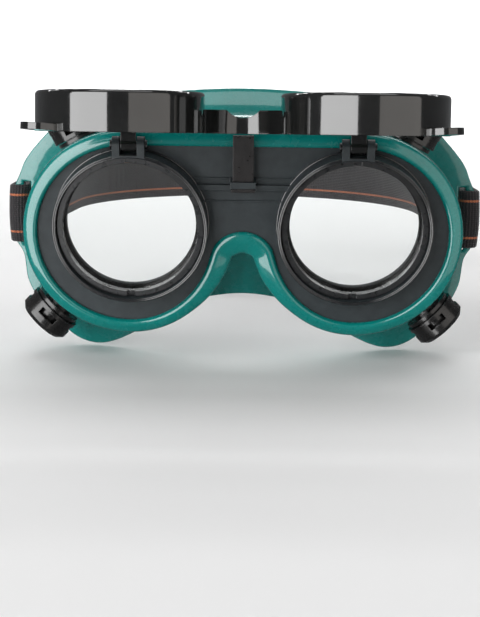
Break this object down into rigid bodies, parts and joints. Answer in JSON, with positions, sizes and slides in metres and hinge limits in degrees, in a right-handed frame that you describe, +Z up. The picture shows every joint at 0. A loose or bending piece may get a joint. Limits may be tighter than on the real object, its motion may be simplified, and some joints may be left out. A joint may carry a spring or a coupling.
{
  "type": "welding goggles",
  "caption": "Lift-front welding goggles: a soft green body with round clear lenses, a hinged front with dark lenses, side vents and an elastic headband.",
  "frame": {"origin": "middle of the face seal, level with the middle of the front plate", "axes": "+X across the face to the viewer's right of the front, +Y from the lenses back to the head, +Z up"},
  "size_m": [0.1826, 0.3011, 0.1049],
  "materials": {
    "green_pvc": "glossy soft vinyl",
    "plate_black": "satin",
    "lift_black": "glossy",
    "ring_black": "semi-gloss",
    "clear_lens": "clear polished",
    "shade_lens": "dark green polished",
    "gasket_rubber": "matte",
    "pin_steel": "bright",
    "tongue_plastic": "satin",
    "vent_black": "semi-gloss",
    "band_fabric": "woven elastic with two thin stripes"
  },
  "bodies": {
    "frame": {"goggle_body": "green_pvc", "front_plate": "plate_black", "detent_spring": "tongue_plastic", "clear_lens_left": "clear_lens", "clear_lens_right": "clear_lens", "lens_gasket_left": "gasket_rubber", "lens_gasket_right": "gasket_rubber", "hinge_pin_left": "pin_steel", "hinge_pin_right": "pin_steel", "headband": "band_fabric", "vent_seat_upper_left": "vent_black", "vent_seat_upper_right": "vent_black", "vent_seat_lower_left": "vent_black", "vent_seat_lower_right": "vent_black", "vent_cap_upper_left": "vent_black", "vent_cap_upper_right": "vent_black", "vent_cap_lower_left": "vent_black", "vent_cap_lower_right": "vent_black"},
    "lift": {"lift_front": "lift_black", "shade_lens_left": "shade_lens", "shade_lens_right": "shade_lens", "shade_gasket_left": "gasket_rubber", "shade_gasket_right": "gasket_rubber"},
    "ring_left": {"lens_ring_left": "ring_black"},
    "ring_right": {"lens_ring_right": "ring_black"},
    "shade_ring_left": {"shade_ring_left": "ring_black"},
    "shade_ring_right": {"shade_ring_right": "ring_black"},
    "band_slide": {"headband_slide": "ring_black"}
  },
  "joints": [
    {"name": "lift_hinge", "type": "hinge", "parent": "frame", "child": "lift", "pos_m": [0, -0.05173, 0.0292], "axis": [1, 0, 0], "range_deg": [0, 105.6]},
    {"name": "lens_ring_left_turn", "type": "hinge", "parent": "frame", "child": "ring_left", "pos_m": [-0.0405, -0.0445, -0.00096], "axis": [0, -0.9781, -0.2079], "range_deg": [0, 1080]},
    {"name": "lens_ring_right_turn", "type": "hinge", "parent": "frame", "child": "ring_right", "pos_m": [0.0405, -0.0445, -0.00096], "axis": [0, -0.9781, -0.2079], "range_deg": [0, 1080]},
    {"name": "shade_ring_left_turn", "type": "hinge", "parent": "lift", "child": "shade_ring_left", "pos_m": [-0.0405, -0.08201, 0.04163], "axis": [0, -0.0628, -0.998], "range_deg": [0, 1080]},
    {"name": "shade_ring_right_turn", "type": "hinge", "parent": "lift", "child": "shade_ring_right", "pos_m": [0.0405, -0.08201, 0.04163], "axis": [0, -0.0628, -0.998], "range_deg": [0, 1080]},
    {"name": "band_slide_travel", "type": "slide", "parent": "frame", "child": "band_slide", "axis": [-0.0898, 0.996, 0], "range_m": [-0.004, 0.022]}
  ]
}
